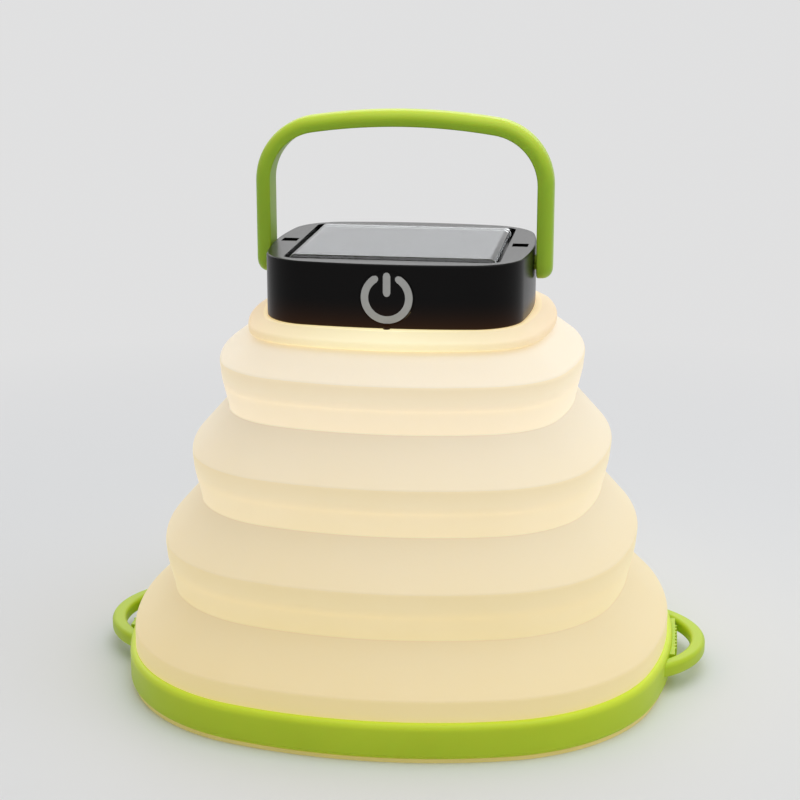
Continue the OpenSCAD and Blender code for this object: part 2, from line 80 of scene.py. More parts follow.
# Shader sockets. Arithmetic on one adds Math nodes beside it, and node() adds any other kind
# with its settings and the values or links of its sockets.
class Tint:
    def __init__(self, tree, socket=None):
        self.tree = tree
        self.socket = socket

    def node(self, kind, settings=None, sockets=None, output=0):
        made = self.tree.nodes.new("ShaderNode" + kind)
        for key, value in (settings or {}).items():
            if key == "stops":
                ramp = made.color_ramp.elements
                ramp.remove(ramp[1])
                ramp[0].position = value[0][0]
                ramp[0].color = (*value[0][1], 1.0)
                for place, colour in value[1:]:
                    ramp.new(place).color = (*colour, 1.0)
            else:
                setattr(made, key, value)
        for key, value in (sockets or {}).items():
            if isinstance(value, Tint):
                self.tree.links.new(value.socket, made.inputs[key])
            else:
                made.inputs[key].default_value = value
        return Tint(self.tree, made.outputs[output])

    def math(self, operation, first, second=0.0):
        return self.node("Math", {"operation": operation}, {0: first, 1: second})

    def clamp(self):
        return self.node("Clamp", None, {"Value": self})

    def part(self, axis):
        return self.node("SeparateXYZ", None, {0: self}, axis)

    def __add__(self, other):
        return self.math("ADD", self, other)

    __radd__ = __add__

    def __sub__(self, other):
        return self.math("SUBTRACT", self, other)

    def __rsub__(self, other):
        return self.math("SUBTRACT", other, self)

    def __mul__(self, other):
        return self.math("MULTIPLY", self, other)

    __rmul__ = __mul__

    def __truediv__(self, other):
        return self.math("DIVIDE", self, other)

    def blend(self, low, high):
        return self.node("Mix", {"data_type": "RGBA"}, {"Factor": self, 6: low, 7: high}, 2)

    def noise(self, scale, detail=2.0):
        return self.node("TexNoise", None, {"Vector": self, "Scale": scale, "Detail": detail})


def material_of(name, constants, metallic=0.0):
    made = bpy.data.materials.new(name)
    made.use_nodes = True
    shader = made.node_tree.nodes["Principled BSDF"]
    shader.inputs["Metallic"].default_value = metallic
    for socket, value in constants.items():
        shader.inputs[socket].default_value = value
    start = Tint(made.node_tree)
    place = start.node("TexCoord", output="Object")

    def feed(**tints):
        for socket, tint in tints.items():
            made.node_tree.links.new(tint.socket, shader.inputs[socket.replace("_", " ")])

    def grain(scale, distance, strength=1.0, detail=2.0):
        height = place.noise(scale, detail)
        feed(Normal=start.node("Bump", None, {
            "Height": height, "Distance": distance * MM, "Strength": strength}))
        return height

    return made, place, feed, grain


# Studio. A pale seamless floor that fades into an even background, a large soft box overhead to the
# right, a soft panel behind that shows only as a reflection, and a surround that is pale behind
# the lantern and darker in front.
FLOOR_COLOUR = (0.80, 0.804, 0.812, 1.0)
BACKGROUND = (0.748, 0.748, 0.751, 1.0)
FLOOR_SIZE = 40.0
FADE_FROM = 0.18
FADE_OVER = 0.22
SURROUND_FRONT = (0.144, 0.147, 0.15, 1.0)
SURROUND_BACK = (0.73, 0.745, 0.76, 1.0)
OVERHEAD = (Vector((0.28, -0.2, 1.1)), (1.4, 1.4), 8.2, True)
BACK_PANEL = (Vector((-0.3, 1.2, 0.76)), (2.4, 0.6), 6.5, False)
LAMP_AIM = Vector((0, 0, 0.08))


def shown(tint):
    kinds = ("Is Camera Ray", "Is Glossy Ray", "Is Transmission Ray")
    return sum([tint.node("LightPath", output=kind) for kind in kinds], 0.0).clamp()


floor_form = bmesh.new()
bmesh.ops.create_grid(floor_form, x_segments=1, y_segments=1, size=FLOOR_SIZE / 2)
floor_mesh = bpy.data.meshes.new("floor")
floor_form.to_mesh(floor_mesh)
floor_form.free()
floor = bpy.data.objects.new("floor", floor_mesh)
bpy.context.scene.collection.objects.link(floor)
floor_paint, place, _, _ = material_of("floor_paint", {"Base Color": FLOOR_COLOUR, "Roughness": 0.7})
far_off = place.node("VectorMath", {"operation": "LENGTH"}, {0: place}, "Value")
fade = ((far_off - FADE_FROM) / FADE_OVER).clamp() * shown(place)
backdrop = place.node("Emission", None, {"Color": BACKGROUND})
floor_shader = Tint(place.tree, place.tree.nodes["Principled BSDF"].outputs[0])
seen = place.node("MixShader", None, {0: fade, 1: floor_shader, 2: backdrop})
place.tree.links.new(seen.socket, place.tree.nodes["Material Output"].inputs["Surface"])
floor_mesh.materials.append(floor_paint)

for lamp_name, lamp_at, lamp_size, lamp_power, lamp_lights in (
    ("overhead", *OVERHEAD), ("back_panel", *BACK_PANEL),
):
    lamp_data = bpy.data.lights.new(lamp_name, "AREA")
    lamp_data.shape = "RECTANGLE"
    lamp_data.size, lamp_data.size_y = lamp_size
    lamp_data.energy = lamp_power
    lamp = bpy.data.objects.new(lamp_name, lamp_data)
    lamp.location = lamp_at
    lamp.visible_diffuse = lamp_lights
    lamp.rotation_mode = "QUATERNION"
    lamp.rotation_quaternion = (LAMP_AIM - lamp_at).to_track_quat("-Z", "Y")
    bpy.context.scene.collection.objects.link(lamp)

world = bpy.data.worlds.new("surround")
world.use_nodes = True
sky = Tint(world.node_tree).node("TexCoord", output="Generated")
depth = sky.part("Y") * 0.5 + 0.5
surround = depth.blend(SURROUND_FRONT, SURROUND_BACK)
background = world.node_tree.nodes["Background"]
world.node_tree.links.new(shown(sky).blend(surround, BACKGROUND).socket, background.inputs["Color"])
bpy.context.scene.world = world


# Base plate. The clear plastic floor of the lantern, moulded in one piece, with the clamp ring that
# holds the bellows down and four steel screws put in from below.
def dress(material, *nodes):
    for node in nodes:
        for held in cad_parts[node].material_slots:
            held.material = material


PLATE_CLEAR = (0.82, 0.64, 0.30, 1.0)
# Painted glow: an emission colour on the plate and the clamp ring stands in for the lamp light coming
# down through them.
PLATE_GLOW = ((0.12, 0.11, 0.015, 1.0), (0.18, 0.16, 0.025, 1.0))

base_clear, place, feed, grain = material_of("base_clear", {
    "Base Color": PLATE_CLEAR, "Emission Strength": 1.0, "Coat Weight": 0.3})
frost = grain(900.0, 0.03)
feed(Roughness=0.3 + 0.2 * frost, Emission_Color=place.noise(60.0).blend(*PLATE_GLOW))
dress(base_clear, "base_plate", "base_clamp")

STEEL_COLOURS = ((0.50, 0.50, 0.52, 1.0), (0.66, 0.66, 0.68, 1.0))

steel, place, feed, grain = material_of("steel", {}, metallic=1.0)
turning = grain(2200.0, 0.01)
feed(Base_Color=turning.blend(*STEEL_COLOURS), Roughness=0.22 + 0.2 * place.noise(700.0))
dress(steel, "base_screws", "clamp_screws", "board_screws")


# Base band. A lime plastic hoop around the foot of the bellows, moulded with round edges. Light from
# inside leaks through its top edge and under its foot, and is painted there as a glow.
ARC_STEP = 12.0
SPIN_STEP = 2.5
MERGE_DISTANCE = 0.002
SHARP_ANGLE = math.radians(32.0)
BODY_PLAN = {
    "corner": (21.0, 17.5), "front": 54.5, "side": 39.0, "bow": math.asin(0.28), "inset": 3.0,
}


def rounded(points):
    outline = []
    for i, (x, y, radius) in enumerate(points):
        here = Vector((x, y))
        before = (Vector(points[i - 1][:2]) - here).normalized()
        after = (Vector(points[(i + 1) % len(points)][:2]) - here).normalized()
        if radius == 0:
            outline.append(here)
            continue
        half = before.angle(after) / 2
        middle = here + (before + after).normalized() * radius / math.sin(half)
        first = here + before * radius / math.tan(half) - middle
        turn = math.copysign(math.pi - 2 * half, before.cross(after))
        steps = max(2, math.ceil(abs(math.degrees(turn)) / ARC_STEP))
        for s in range(steps + 1):
            outline.append(middle + Matrix.Rotation(-turn * s / steps, 2) @ first)
    return outline


def draw(form, points):
    verts = [form.verts.new(p) for p in points]
    return verts + [form.edges.new(pair) for pair in zip(verts, verts[1:] + verts[:1])]


def sweep(form, section, plan):
    (cx, cy), bow = plan["corner"], plan["bow"]
    front, side = plan["front"], plan["side"]
    corner = math.pi / 2 - 2 * bow
    ring = draw(form, [(0, plan["inset"] - a, z) for a, z in section])
    for centre, turn in (
        ((0, front), bow), ((cx, -cy), corner), ((-side, 0), 2 * bow),
        ((cx, cy), corner), ((0, -front), 2 * bow), ((-cx, cy), corner),
        ((side, 0), 2 * bow), ((-cx, -cy), corner), ((0, front), bow),
    ):
        ring = bmesh.ops.spin(
            form, geom=ring, cent=(*centre, 0), axis=(0, 0, 1), angle=turn,
            steps=math.ceil(math.degrees(turn) / SPIN_STEP))["geom_last"]
    bmesh.ops.remove_doubles(form, verts=form.verts, dist=MERGE_DISTANCE)


def make(name, form, material, nodes, body=None):
    bmesh.ops.recalc_face_normals(form, faces=form.faces)
    form.transform(Matrix.Scale(MM, 4))
    for face in form.faces:
        face.smooth = len(face.verts) == 4
    for edge in form.edges:
        edge.smooth = edge.calc_face_angle(0.0) < SHARP_ANGLE
    mesh = bpy.data.meshes.new(name)
    form.to_mesh(mesh)
    form.free()
    mesh.materials.append(material)
    made = bpy.data.objects.new(name, mesh)
    bpy.context.scene.collection.objects.link(made)
    if nodes:
        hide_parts(*nodes)
    if body:
        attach(made, body)
    return made


def span(node):
    low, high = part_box(node)
    return Vector(low) / MM, Vector(high) / MM


BAND_WALL = 3.4
BAND_EDGE = 1.6
hoop_low, hoop_high = span("base_band")
BAND_OUTER = hoop_high.x
BAND_INNER = BAND_OUTER - BAND_WALL
BAND_LOW = hoop_low.z
BAND_HIGH = hoop_high.z
BAND_INNER_EDGE = 0.5
LIME_COLOURS = ((0.465, 0.635, 0.021, 1.0), (0.55, 0.725, 0.034, 1.0))
# Painted glow by height on the band: the emission is brightest at its foot and at its top edge.
BAND_GLOW = [
    (0.0, (0.20, 0.18, 0.012)), (0.16, (0.02, 0.018, 0.0)), (0.35, (0.02, 0.02, 0.0)),
    (0.8, (0.03, 0.03, 0.0)), (0.94, (0.12, 0.12, 0.01)), (1.0, (0.18, 0.19, 0.015)),
]


def lime_plastic(name, glow_stops=None, sides=LIME_COLOURS, painted_light_tops=LIME_COLOURS):
    constants = {"Emission Strength": 1.0} if glow_stops else {}
    made, place, feed, grain = material_of(name, {
        "Subsurface Weight": 0.15, "Subsurface Scale": 0.003, "Specular IOR Level": 0.25,
        **constants})
    speckle = grain(1600.0, 0.012)
    mottle = place.noise(45.0, 3.0)
    # Painted light and shade: each face takes its colour between the side colours and the top colours
    # by how far it points up, in object space. Only the bail is given darker sides and lighter tops.
    upward_painted_light = place.node("TexCoord", output="Normal").part("Z").clamp()
    feed(Base_Color=upward_painted_light.blend(mottle.blend(*sides), mottle.blend(*painted_light_tops)),
         Roughness=0.3 + 0.14 * mottle + 0.06 * speckle)
    # Painted glow: an emission colour by height, from the given stops.
    if glow_stops:
        height = place.part("Z") / (BAND_HIGH * MM)
        feed(Emission_Color=height.node("ValToRGB", {"stops": glow_stops}, {0: height}))
    return made


band_lime = lime_plastic("band_lime", BAND_GLOW)
band_form = bmesh.new()
sweep(band_form, rounded([
    (BAND_INNER, BAND_LOW, 0), (BAND_OUTER, BAND_LOW, BAND_EDGE),
    (BAND_OUTER, BAND_HIGH, BAND_EDGE), (BAND_INNER, BAND_HIGH, BAND_INNER_EDGE),
]), BODY_PLAN)
make("base_hoop", band_form, band_lime, ["base_band"], "base")

# Strap loops. Two flat lime bows moulded onto the sides of the band, with a row of small grip teeth
# along the root of each.
loop_low, loop_high = span("strap_loop_right")
LOOP_OUTER = 26.0
LOOP_INNER = 22.0
LOOP_CENTRE = loop_high.x - LOOP_OUTER
LOOP_LOW = loop_low.z
LOOP_HIGH = loop_high.z
LOOP_EDGE = 1.2
LOOP_HALF_ANGLE = math.radians(56.0)
ROOT_BACK = BAND_OUTER - 1.6
ROOT_FACE = BAND_OUTER + 0.7
ROOT_HALF = 13.2
TOOTH_COUNT = 8
TOOTH_PITCH = 2.3
TOOTH_RADIUS = 0.55
TOOTH_INSET = 0.2
LOOP_STEPS = 40

loop_lime = lime_plastic("loop_lime")
for loop_name, loop_node, loop_turn in (
    ("loop_right", "strap_loop_right", 0.0),
    ("loop_left", "strap_loop_left", math.pi),
):
    loop_form = bmesh.new()
    bow_end = draw(loop_form, [(LOOP_CENTRE + r, 0, z) for r, z in rounded([
        (LOOP_INNER, LOOP_LOW, LOOP_EDGE), (LOOP_OUTER, LOOP_LOW, LOOP_EDGE),
        (LOOP_OUTER, LOOP_HIGH, LOOP_EDGE), (LOOP_INNER, LOOP_HIGH, LOOP_EDGE),
    ])])
    bmesh.ops.contextual_create(loop_form, geom=bow_end)
    bmesh.ops.rotate(loop_form, verts=loop_form.verts, cent=(LOOP_CENTRE, 0, 0),
                     matrix=Matrix.Rotation(-LOOP_HALF_ANGLE, 3, "Z"))
    bmesh.ops.spin(loop_form, geom=loop_form.faces[:], cent=(LOOP_CENTRE, 0, 0), axis=(0, 0, 1),
                   angle=2 * LOOP_HALF_ANGLE, steps=LOOP_STEPS)
    root_bar = bmesh.ops.create_cube(loop_form, size=1.0)["verts"]
    bmesh.ops.scale(loop_form, verts=root_bar,
                    vec=(ROOT_FACE - ROOT_BACK, 2 * ROOT_HALF, LOOP_HIGH - LOOP_LOW))
    bmesh.ops.translate(loop_form, verts=root_bar,
                        vec=((ROOT_FACE + ROOT_BACK) / 2, 0, (LOOP_LOW + LOOP_HIGH) / 2))
    for i in range(TOOTH_COUNT):
        tooth = bmesh.ops.create_cone(
            loop_form, cap_ends=True, segments=20, radius1=TOOTH_RADIUS, radius2=TOOTH_RADIUS,
            depth=LOOP_HIGH - LOOP_LOW - 2 * TOOTH_INSET)["verts"]
        bmesh.ops.translate(loop_form, verts=tooth, vec=(
            ROOT_FACE, (i - (TOOTH_COUNT - 1) / 2) * TOOTH_PITCH, (LOOP_LOW + LOOP_HIGH) / 2))
    bmesh.ops.rotate(loop_form, verts=loop_form.verts, cent=(0, 0, 0),
                     matrix=Matrix.Rotation(loop_turn, 3, "Z"))
    make(loop_name, loop_form, loop_lime, [loop_node], "base")

# Bellows. A soft skin of frosted silicone in four tiers, lit from inside. Each piece runs from the
# middle of one upright band over a fold and its ridge to the middle of the next band.
BEAD = 1.7
BAND_NODES = ("bellows_band_1", "bellows_band_2", "bellows_band_3", "bellows_skirt")
RIDGE_OUT = [span(node)[1].x for node in BAND_NODES]
RIDGE_HIGH = [span(node)[1].z - BEAD for node in BAND_NODES]
TIER_BAND = RIDGE_HIGH[0] - span("bellows_band_1")[0].z
TIER_DRAFT = 2.2
SKIN = 2.0
RIDGE_ROUND = 1.6
RIDGE_SWELL = 0.2
VALLEY_ROUND = 0.8
KNEE_IN = 0.25
KNEE_DROP = 4.5
KNEE_ROUND = 10.0
SEAM_IN = KNEE_IN + (TIER_DRAFT - KNEE_IN) / (TIER_BAND - KNEE_DROP) * (TIER_BAND / 2 - KNEE_DROP)
LIP_OUT = BAND_OUTER - BAND_EDGE
LIP_LOW = BAND_HIGH + 0.05
LIP_THICK = 0.6
LIP_ROUND = 0.3
FOOT_OUT = BAND_INNER - 0.1
FOOT_LOW = 2.6
collar_low, collar_high = span("bellows_collar")
COLLAR_EDGE = 1.8
FOLD_TOP = (collar_high.x - COLLAR_EDGE, collar_low.z)
FOLD_TUCK = 1.2
FOLD_TOP_ROUND = 0.5
TIER_PITCH = RIDGE_HIGH[0] - RIDGE_HIGH[1]
FOLD_SHARE = 1 - TIER_BAND / TIER_PITCH
SILICONE_COLOURS = ((0.58, 0.56, 0.42, 1.0), (0.62, 0.61, 0.55, 1.0))
# Painted glow: emission colours on the upright bands and on the shoulders, from the foot to the head,
# that stand in for the lamp light coming through the skin.
GLOW_UPRIGHT = ((0.43, 0.31, 0.085, 1.0), (0.555, 0.44, 0.285, 1.0))
GLOW_SHOULDER = ((0.375, 0.25, 0.065, 1.0), (0.39, 0.305, 0.19, 1.0))
# Painted shade: how far the glow drops towards the top of each facet, and the share of that drop kept
# at the foot.
GLOW_STEP = 0.26
FOOT_STEP = 0.35
# Painted shade: a darker, yellower base colour under each ridge.
RIDGE_PAINTED_SHADE = (0.555, 0.52, 0.37, 1.0)


def silicone_skin(name, upright_glow, shoulder_glow, side_glow=None):
    made, place, feed, grain = material_of(name, {
        "Emission Strength": 1.0, "Subsurface Weight": 0.2, "Subsurface Scale": 0.004,
        "Subsurface Radius": (1.0, 0.8, 0.5), "Sheen Weight": 0.15, "Sheen Roughness": 0.4})
    bloom = place.noise(38.0, 3.0)
    dust = grain(1300.0, 0.02)
    rise = place.node("Attribute", {"attribute_name": "rise"}, None, "Fac")
    nearness = ((rise - BAND_HIGH) / (RIDGE_HIGH[0] - BAND_HIGH) + 0.2 * (bloom - 0.5)).clamp()
    cycle = (rise - RIDGE_HIGH[3]) / TIER_PITCH
    cycle = cycle.math("FRACT", cycle)
    upright = cycle.math("GREATER_THAN", cycle, FOLD_SHARE)
    fold_fall = cycle / FOLD_SHARE * (1 - upright)
    band_fall = (cycle - FOLD_SHARE) / (1 - FOLD_SHARE) * upright
    # Painted glow: the emission colour stands in for the lamp light through the skin, brighter and
    # whiter towards the head, with its own colours on uprights and shoulders.
    glow = upright.blend(nearness.blend(*shoulder_glow), nearness.blend(*upright_glow))
    # Painted glow: where a side glow is given, the emission turns to it towards the left and right
    # ends.
    if side_glow:
        across = place.part("X") / (collar_high.x * MM)
        glow = (across * across).clamp().blend(glow, side_glow)
    # Painted shade: the glow is brighter at the foot of each shoulder and upright band and dimmer at
    # its top, under the fold above. This is less marked near the foot of the bellows.
    lit = 1 + GLOW_STEP * (FOOT_STEP + (1 - FOOT_STEP) * nearness) * (0.5 - fold_fall - band_fall)
    # Painted shade: the base colour darkens towards the top of each upright band, under the ridge.
    # Elsewhere it runs yellower towards the foot.
    feed(Base_Color=(band_fall * band_fall).blend(nearness.blend(*SILICONE_COLOURS), RIDGE_PAINTED_SHADE),
         Roughness=0.46 + 0.12 * bloom + 0.08 * dust,
         Emission_Color=glow.node("VectorMath", {"operation": "SCALE"}, {0: glow, "Scale": lit}))
    return made


def mark_rise(piece):
    rise = piece.data.attributes.new("rise", "FLOAT", "POINT")
    rise.data.foreach_set("value", [v.co.z / MM for v in piece.data.vertices])


bellows_silicone = silicone_skin("bellows_silicone", GLOW_UPRIGHT, GLOW_SHOULDER)
for tier in range(4):
    out, high = RIDGE_OUT[tier], RIDGE_HIGH[tier]
    if tier == 0:
        upper = [(FOLD_TOP[0], FOLD_TOP[1] + FOLD_TUCK, 0), (*FOLD_TOP, FOLD_TOP_ROUND)]
    else:
        band_out, band_high = RIDGE_OUT[tier - 1], RIDGE_HIGH[tier - 1]
        upper = [(band_out - SEAM_IN, band_high - TIER_BAND / 2, 0),
                 (band_out - TIER_DRAFT, band_high - TIER_BAND, VALLEY_ROUND)]
    ridge = (out + RIDGE_SWELL, high, RIDGE_ROUND)
    lower = [(out - KNEE_IN, high - KNEE_DROP, KNEE_ROUND), (out - SEAM_IN, high - TIER_BAND / 2, 0)]
    inner = [(a - SKIN, z, 0) for a, z, r in reversed(upper + [ridge] + lower)]
    if tier == 3:
        ridge = (out, high, RIDGE_ROUND)
        lower = [
            (LIP_OUT, LIP_LOW + LIP_THICK, LIP_ROUND), (LIP_OUT, LIP_LOW, 0),
            (FOOT_OUT, LIP_LOW, 0), (FOOT_OUT, FOOT_LOW, 0),
        ]
        inner = [(BAND_INNER - SKIN, FOOT_LOW, 0), (out - SKIN, high, 0)] + inner[-2:]
    fold_form = bmesh.new()
    sweep(fold_form, rounded(upper + [ridge] + lower + inner), BODY_PLAN)
    fold = make("bellows_tier_%d" % (tier + 1), fold_form, bellows_silicone,
                [BAND_NODES[tier], "bellows_fold_%d" % (tier + 1)])
    mark_rise(fold)
    fold_high = upper[1][1]
    fold_high * MM
    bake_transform(fold)

# Collar. The lip in which the bellows ends, pulled up around the underside of the head and held there
# by a ring and four screws. It slopes to a thin rim, and its painted glow is brightest right under
# the lamp.
COLLAR_WIDE = 15.0
COLLAR_OUT = collar_high.x
COLLAR_IN = COLLAR_OUT - COLLAR_WIDE
COLLAR_LOW = collar_low.z
COLLAR_HIGH = collar_high.z
RIM_HIGH = 2.2
RIM_SLOPE = 4.4
RIM_ROOT = COLLAR_OUT - 5.0
RIM_ROUNDS = (0.4, 0.9, 1.1, 3.0)
GLOW_COLLAR = ((0.61, 0.50, 0.21, 1.0), (0.63, 0.53, 0.23, 1.0))
GLOW_COLLAR_TOP = ((0.61, 0.50, 0.20, 1.0), (0.63, 0.52, 0.22, 1.0))
# Painted glow: a more amber emission towards the left and right ends of the collar.
GLOW_COLLAR_SIDE = (0.45, 0.25, 0.04, 1.0)

collar_silicone = silicone_skin("collar_silicone", GLOW_COLLAR, GLOW_COLLAR_TOP, GLOW_COLLAR_SIDE)
collar_form = bmesh.new()
sweep(collar_form, rounded([
    (COLLAR_IN, COLLAR_HIGH - SKIN, 0), (RIM_ROOT, COLLAR_HIGH - SKIN, RIM_ROUNDS[0]),
    (RIM_ROOT, COLLAR_LOW, RIM_ROUNDS[0]), (COLLAR_OUT, COLLAR_LOW, RIM_ROUNDS[1]),
    (COLLAR_OUT, COLLAR_LOW + RIM_HIGH, RIM_ROUNDS[2]),
    (COLLAR_OUT - RIM_SLOPE, COLLAR_HIGH, RIM_ROUNDS[3]), (COLLAR_IN, COLLAR_HIGH, 0),
]), BODY_PLAN)
mark_rise(make("collar", collar_form, collar_silicone, ["bellows_collar"], "head"))

# Lamp inside the head. A frosted window, a ring of diodes under a green board, a flat foil cell,
# a push switch and two contact pins, all held on the black floor of the head.
WINDOW_WHITE = (0.86, 0.85, 0.80, 1.0)
WINDOW_GLOW = ((0.60, 0.46, 0.20, 1.0), (0.75, 0.60, 0.30, 1.0))
DIODE_COLOURS = ((0.85, 0.70, 0.20, 1.0), (0.90, 0.80, 0.35, 1.0))
DIODE_GLOW = ((0.9, 0.7, 0.3, 1.0), (1.0, 0.85, 0.5, 1.0))
BOARD_COLOURS = ((0.012, 0.06, 0.03, 1.0), (0.02, 0.10, 0.05, 1.0))
FOIL_COLOURS = ((0.32, 0.34, 0.37, 1.0), (0.44, 0.46, 0.48, 1.0))
GILT_COLOURS = ((0.60, 0.42, 0.12, 1.0), (0.72, 0.52, 0.20, 1.0))

frosted, place, feed, grain = material_of("frosted_window", {
    "Base Color": WINDOW_WHITE, "Emission Strength": 1.0})
feed(Roughness=0.4 + 0.2 * grain(800.0, 0.02), Emission_Color=place.noise(90.0).blend(*WINDOW_GLOW))
dress(frosted, "led_lens")

diode, place, feed, grain = material_of("diode", {"Roughness": 0.3, "Emission Strength": 1.0})
feed(Base_Color=grain(2500.0, 0.01).blend(*DIODE_COLOURS),
     Emission_Color=place.noise(400.0).blend(*DIODE_GLOW))
dress(diode, "leds")

board_green, place, feed, grain = material_of("board_green", {"Coat Weight": 0.4})
feed(Base_Color=place.noise(180.0, 4.0).blend(*BOARD_COLOURS),
     Roughness=0.35 + 0.2 * grain(1500.0, 0.01))
dress(board_green, "circuit_board")

foil, place, feed, grain = material_of("battery_foil", {}, metallic=0.8)
feed(Base_Color=place.noise(70.0).blend(*FOIL_COLOURS),
     Roughness=0.32 + 0.2 * grain(500.0, 0.05))
dress(foil, "battery")

gilt, place, feed, grain = material_of("contact_gilt", {}, metallic=1.0)
feed(Base_Color=grain(2000.0, 0.01).blend(*GILT_COLOURS),
     Roughness=0.25 + 0.15 * place.noise(900.0))
dress(gilt, "panel_contacts")


# Head housing. A moulded black box with a satin grain, open below, whose top frame is sunk in the
# middle for the solar panel. It has two small slots, bores for the handle and a hole for the button.
head_low, head_high = span("head_housing")
HEAD_OUT = head_high.x
HEAD_FRONT = head_high.y
HEAD_LOW = head_low.z
HEAD_HIGH = head_high.z
BLACK_COLOURS = ((0.002, 0.0017, 0.0017, 1.0), (0.0035, 0.003, 0.003, 1.0))
NO_GLOW = (0.0, 0.0, 0.0, 1.0)
# Painted glow: a warm emission at the foot of the black parts, fading out over a few millimetres
# upward.
FOOT_PAINTED_GLOW = (0.022, 0.007, 0.001, 1.0)
PAINTED_GLOW_REACH = 8.0
TOP_SHEEN = 0.25
GLOSS = 0.2


def black_plastic(name):
    made, place, feed, grain = material_of(name, {
        "Specular IOR Level": 0.1, "Emission Strength": 1.0, "Coat Roughness": 0.28})
    pebble = grain(1900.0, 0.015, detail=3.0)
    scuff = place.noise(55.0, 4.0)
    height = place.part("Z")
    # Painted glow: a warm emission at the foot of the head, fading out upward, standing in for lamp
    # light that reaches it.
    painted_glow_fade = (1 - (height - HEAD_LOW * MM) / (PAINTED_GLOW_REACH * MM)).clamp()
    facing = place.node("TexCoord", output="Normal").part("Z")
    feed(Base_Color=scuff.blend(*BLACK_COLOURS), Roughness=GLOSS + 0.06 * scuff + 0.05 * pebble,
         Coat_Weight=TOP_SHEEN * (4 * facing - 3).clamp(),
         Emission_Color=(painted_glow_fade * painted_glow_fade).blend(NO_GLOW, FOOT_PAINTED_GLOW))
    return made


HEAD_PLAN = {
    "corner": (19.5, 16.25), "front": 109.75, "side": 85.5, "bow": math.asin(13 / 85), "inset": 3.0,
}
cover_low, cover_high = span("solar_cover")
button_low, button_high = span("power_button")
HEAD_EDGE = 0.6
FOOT_EDGE = 0.5
FOOT_INNER_EDGE = 0.3
DECK_EDGE = 0.8
HEAD_WALL = 2.2
PANEL_GAP = 1.3
RECESS_OUT = cover_high.x + PANEL_GAP
RECESS_DEEP = cover_high.y + PANEL_GAP
RECESS_ROUND = 2.8
RECESS_FLOOR = cover_low.z
DECK = 1.6
DECK_LOW = RECESS_FLOOR - DECK
DECK_HOLE = 21.2
BUTTON_GAP = 0.12
BUTTON_HIGH = (span("power_symbol")[0].z + span("power_symbol")[1].z) / 2
BUTTON_HOLE = (button_high.z - button_low.z) / 2 + BUTTON_GAP
BUTTON_DEPTH = 8.0
SLOT_FROM = HEAD_OUT - 6.1
SLOT_LONG = 4.2
SLOT_WIDE = 4.6
SLOT_DEEP = 1.5
PIVOT_DROP = 4.4
PIVOT_HIGH = HEAD_HIGH - PIVOT_DROP
PIN_BORE = 2.05
PIN_FROM = HEAD_OUT - 4.0
NUB_RADIUS = 0.9
NUB_HIGH = 0.8

black_satin = black_plastic("black_satin")
dress(black_satin, "collar_clamp", "head_floor", "tact_switch")

housing_form = bmesh.new()
sweep(housing_form, rounded([
    (HEAD_OUT - HEAD_WALL, HEAD_LOW, FOOT_INNER_EDGE), (HEAD_OUT, HEAD_LOW, FOOT_EDGE),
    (HEAD_OUT, HEAD_HIGH, HEAD_EDGE), (DECK_HOLE, HEAD_HIGH, 0), (DECK_HOLE, DECK_LOW, 0),
    (HEAD_OUT - HEAD_WALL, DECK_LOW, DECK_EDGE),
]), HEAD_PLAN)
housing = make("housing", housing_form, black_satin, ["head_housing"], "head")

BEVEL_STEPS = 8
NEAR = 0.001


def soft_box(form, reach, low, high, corner, edge=0.0):
    block = bmesh.ops.create_cube(form, size=1.0)["verts"]
    bmesh.ops.scale(form, verts=block, vec=(2 * reach[0], 2 * reach[1], high - low))
    bmesh.ops.translate(form, verts=block, vec=(0, 0, (low + high) / 2))
    sides = {e for v in block for e in v.link_edges}
    upright = [e for e in sides if abs(e.verts[0].co.z - e.verts[1].co.z) > NEAR]
    bmesh.ops.bevel(form, geom=upright, offset=corner, affect="EDGES", segments=BEVEL_STEPS,
                    profile=0.5, material=-1)
    if edge:
        rim = [e for e in form.edges if min(v.co.z for v in e.verts) > high - NEAR]
        bmesh.ops.bevel(form, geom=rim, offset=edge, affect="EDGES", segments=BEVEL_STEPS,
                        profile=0.5, material=-1)


def rod(form, radius, depth, segments, axis, at):
    verts = bmesh.ops.create_cone(form, cap_ends=True, segments=segments, radius1=radius,
                                  radius2=radius, depth=depth)["verts"]
    if axis != "Z":
        bmesh.ops.rotate(form, verts=verts, cent=(0, 0, 0),
                         matrix=Matrix.Rotation(math.pi / 2, 3, axis))
    bmesh.ops.translate(form, verts=verts, vec=at)


cutter_form = bmesh.new()
soft_box(cutter_form, (RECESS_OUT, RECESS_DEEP), RECESS_FLOOR, HEAD_HIGH + 1, RECESS_ROUND)
rod(cutter_form, BUTTON_HOLE, BUTTON_DEPTH, 96, "X", (0, -HEAD_FRONT, BUTTON_HIGH))
for side in (-1, 1):
    slot_box = bmesh.ops.create_cube(cutter_form, size=1.0)["verts"]
    bmesh.ops.scale(cutter_form, verts=slot_box, vec=(SLOT_LONG, SLOT_WIDE, 2 * SLOT_DEEP))
    bmesh.ops.translate(cutter_form, verts=slot_box,
                        vec=(side * (SLOT_FROM + SLOT_LONG / 2), 0, HEAD_HIGH))
    rod(cutter_form, PIN_BORE, 2 * (HEAD_OUT - PIN_FROM), 48, "Y", (side * HEAD_OUT, 0, PIVOT_HIGH))
cutter_form.transform(Matrix.Scale(MM, 4))
cutter_mesh = bpy.data.meshes.new("cutter")
cutter_form.to_mesh(cutter_mesh)
cutter_form.free()
cutter = bpy.data.objects.new("cutter", cutter_mesh)
bpy.context.scene.collection.objects.link(cutter)
cut = housing.modifiers.new("holes", "BOOLEAN")
cut.object = cutter
cut.solver = "EXACT"
graph = bpy.context.evaluated_depsgraph_get()
